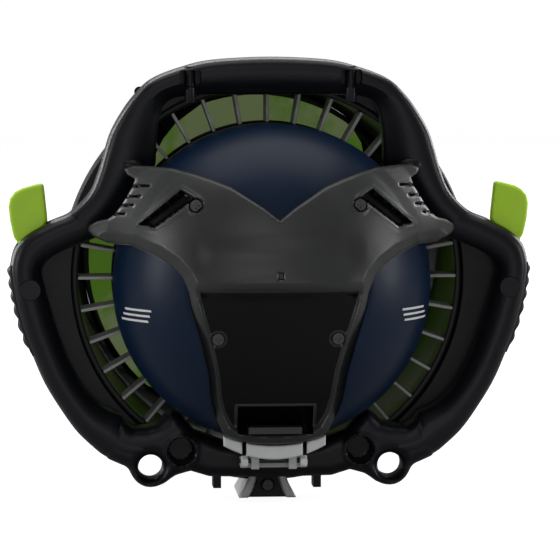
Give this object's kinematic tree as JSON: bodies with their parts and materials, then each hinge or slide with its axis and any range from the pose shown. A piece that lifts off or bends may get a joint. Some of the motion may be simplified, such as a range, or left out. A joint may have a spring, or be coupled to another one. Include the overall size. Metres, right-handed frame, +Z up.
{
  "type": "underwater scooter",
  "caption": "Ducted diver propulsion scooter with a round battery nose, a ring frame with side handles and thumb triggers, and a finned intake.",
  "frame": {"origin": "on the ground under the middle of the machine", "axes": "+Z up, -Y the way it travels (nose first), +X across, to the right as seen from in front of the nose"},
  "size_m": [0.393, 0.3959, 0.335],
  "materials": {
    "frame_plastic": "satin black moulded nylon",
    "cover_plastic": "dark grey moulded plastic with a fine grain",
    "dome_gloss": "navy gloss plastic",
    "grip_rubber": "ribbed black rubber",
    "trigger_lime": "lime green plastic",
    "propeller_green": "green glass-filled plastic",
    "fin_grey": "mid grey plastic",
    "light_plastic": "light grey plastic",
    "steel": "blackened stainless steel",
    "black_gloss": "glossy black plastic",
    "seal_rubber": "silicone seal",
    "cell_wrap": "shrink-wrapped cells",
    "board": "green circuit board",
    "aluminium": "cast aluminium",
    "lamination": "stacked steel laminations",
    "copper": "enamelled copper wire"
  },
  "bodies": {
    "hull": {"frame_arch": "frame_plastic", "handle_left": "frame_plastic", "handle_right": "frame_plastic", "frame_base": "frame_plastic", "back_web": "frame_plastic", "frame_screws": "steel", "grip_pads": "grip_rubber", "grip_caps": "frame_plastic", "lanyard_posts": "frame_plastic", "nose_dome": "dome_gloss", "nose_cover": "cover_plastic", "cover_screws": "steel", "status_light": "black_gloss", "latch_tongue": "cover_plastic", "hull_shell": "frame_plastic", "hull_seal": "seal_rubber", "duct_shell": "frame_plastic", "guard_rings": "frame_plastic", "intake_fins": "fin_grey", "rear_ring": "frame_plastic", "rear_vanes": "frame_plastic", "tail_cone": "dome_gloss", "tail_screw": "steel", "foot_pedestal": "light_plastic", "foot_insert": "grip_rubber", "foot_screw": "steel", "duct_lugs": "frame_plastic", "rear_feet": "grip_rubber", "hinge_bracket": "fin_grey", "hinge_pin": "steel", "charge_socket": "frame_plastic", "trigger_pins": "steel", "trigger_springs": "steel", "trigger_sensors": "board", "console": "frame_plastic", "console_lens": "black_gloss", "battery_cells": "cell_wrap", "battery_trays": "cover_plastic", "control_board": "board", "motor_mount": "aluminium", "motor_can": "aluminium", "stator": "lamination", "windings": "copper", "bearings": "steel", "shaft_seal": "grip_rubber"},
    "propeller": {"propeller": "propeller_green", "drive_shaft": "steel", "rotor": "lamination", "drive_pin": "steel", "prop_nut": "steel"},
    "trigger_left": {"trigger_left": "trigger_lime", "magnet_left": "lamination"},
    "trigger_right": {"trigger_right": "trigger_lime", "magnet_right": "lamination"},
    "charge_flap": {"charge_flap": "light_plastic"},
    "power_button": {"power_button": "trigger_lime"}
  },
  "joints": [
    {"name": "propeller_spin", "type": "hinge", "parent": "hull", "child": "propeller", "pos_m": [0, 0, 0.168], "axis": [0, 1, 0], "continuous": true},
    {"name": "trigger_left_press", "type": "hinge", "parent": "hull", "child": "trigger_left", "pos_m": [-0.178, -0.08, 0.199], "axis": [0.866, 0, 0.5], "range_deg": [0, 14], "stiffness_Nm_per_rad": 0.25, "springref_deg": -11.46},
    {"name": "trigger_right_press", "type": "hinge", "parent": "hull", "child": "trigger_right", "pos_m": [0.178, -0.08, 0.199], "axis": [0.866, 0, -0.5], "range_deg": [0, 14], "stiffness_Nm_per_rad": 0.25, "springref_deg": -11.46},
    {"name": "charge_flap_open", "type": "hinge", "parent": "hull", "child": "charge_flap", "pos_m": [0, -0.122, 0.037], "axis": [1, 0, 0], "range_deg": [0, 100]},
    {"name": "power_button_press", "type": "slide", "parent": "hull", "child": "power_button", "axis": [0, 0, -1], "range_m": [0, 0.0012], "stiffness_N_per_m": 600, "springref_m": -0.0006}
  ]
}
